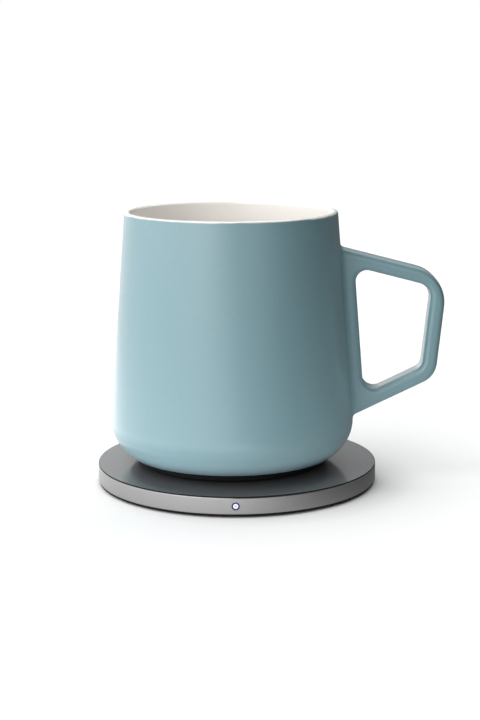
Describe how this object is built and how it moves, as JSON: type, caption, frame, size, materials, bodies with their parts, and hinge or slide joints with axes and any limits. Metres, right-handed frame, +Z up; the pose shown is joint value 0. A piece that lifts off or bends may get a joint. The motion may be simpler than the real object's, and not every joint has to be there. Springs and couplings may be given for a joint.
{
  "type": "self heating mug",
  "caption": "Ceramic mug with a loop handle and a heater in its base, standing on a slim round induction warming pad.",
  "frame": {"origin": "centre of the pad's flat underside", "axes": "+Z up out of the pad, +X the way the mug's handle points, -Y the side with the light, +Y the side with the power inlet"},
  "size_m": [0.1262, 0.102, 0.0993],
  "materials": {
    "teal_glaze": "satin teal-blue glaze outside, white gloss glaze inside and on the lip",
    "satin_metal": "bead blasted and anodised grey",
    "gloss_plate": "glossy dark grey",
    "black_plastic": "fine moulded texture",
    "soft_black": "matt silicone",
    "dark_bezel": "dark, semi-gloss",
    "light_lens": "frosted, glowing white-blue",
    "clear_plastic": "clear moulded",
    "lamp_white": "lamp body",
    "board_green": "solder mask",
    "chip_black": "moulded package",
    "capacitor_tan": "ceramic chip",
    "ferrite_grey": "sintered ferrite, matt",
    "copper_wire": "enamelled copper",
    "spreader_aluminium": "bare sheet",
    "film_amber": "amber film",
    "plated_steel": "nickel plated",
    "gold_plate": "gold plated"
  },
  "bodies": {
    "pad": {"foot_pad": "soft_black", "bottom_cover": "black_plastic", "housing_ring": "satin_metal", "top_gasket": "soft_black", "top_plate": "gloss_plate", "pad_board": "board_green", "coil_tray": "black_plastic", "ferrite_sheet": "ferrite_grey", "transmitter_coil": "copper_wire", "pad_temperature_sensor": "chip_black", "controller_chip": "chip_black", "power_transistors": "chip_black", "resonance_capacitors": "capacitor_tan", "power_inductor": "ferrite_grey", "signal_passives": "capacitor_tan", "inlet_shell": "plated_steel", "inlet_tongue": "black_plastic", "inlet_contacts": "gold_plate", "led_bezel": "dark_bezel", "led_lens": "light_lens", "light_guide": "clear_plastic", "status_led": "lamp_white", "board_screws": "plated_steel", "cover_screws": "plated_steel"},
    "mug": {"mug_body": "teal_glaze", "heat_spreader": "spreader_aluminium", "heating_film": "film_amber", "mug_temperature_sensor": "chip_black", "thermal_fuse": "capacitor_tan", "mug_base_cover": "black_plastic", "base_seal": "soft_black", "mug_foot": "soft_black", "receiver_coil": "copper_wire", "receiver_ferrite": "ferrite_grey", "receiver_board": "board_green", "rectifier_diodes": "chip_black", "receiver_chip": "chip_black", "filter_capacitors": "capacitor_tan"}
  },
  "joints": [
    {"name": "mug_lift", "type": "slide", "parent": "pad", "child": "mug", "axis": [0, 0, 1], "range_m": [0, 0.12]}
  ]
}
